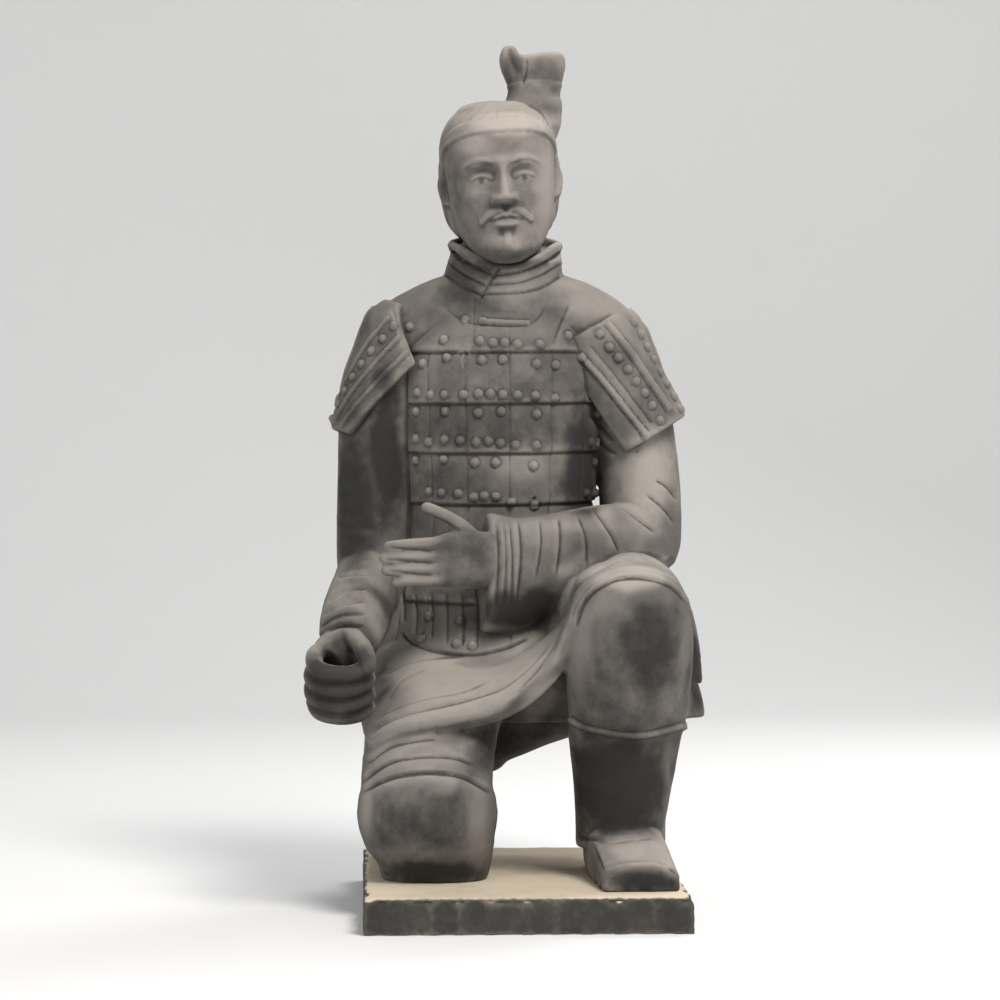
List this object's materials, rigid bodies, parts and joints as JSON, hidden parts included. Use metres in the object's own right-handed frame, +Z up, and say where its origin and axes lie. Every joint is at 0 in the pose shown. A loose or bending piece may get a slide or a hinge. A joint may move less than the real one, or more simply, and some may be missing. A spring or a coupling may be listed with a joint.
{
  "type": "kneeling warrior statue",
  "caption": "Life-size fired clay statue of a kneeling warrior in plate armour and robe, with a topknot, set on a rough low slab.",
  "frame": {"origin": "middle of the slab's underside, on the ground", "axes": "+Z up, the figure faces -Y, +X to the figure's left"},
  "size_m": [0.5855, 0.5944, 1.2463],
  "materials": {
    "clay_plinth": "unglazed fired clay, rough and chipped, grey edges and a pale dusty top",
    "clay_body": "unglazed fired clay, warm grey with dark smoky patches and pale dust",
    "clay_head": "unglazed fired clay, pale pinkish grey, smoother than the body"
  },
  "bodies": {
    "root": {"plinth": "clay_plinth", "warrior_body": "clay_body", "head": "clay_head"}
  },
  "joints": []
}
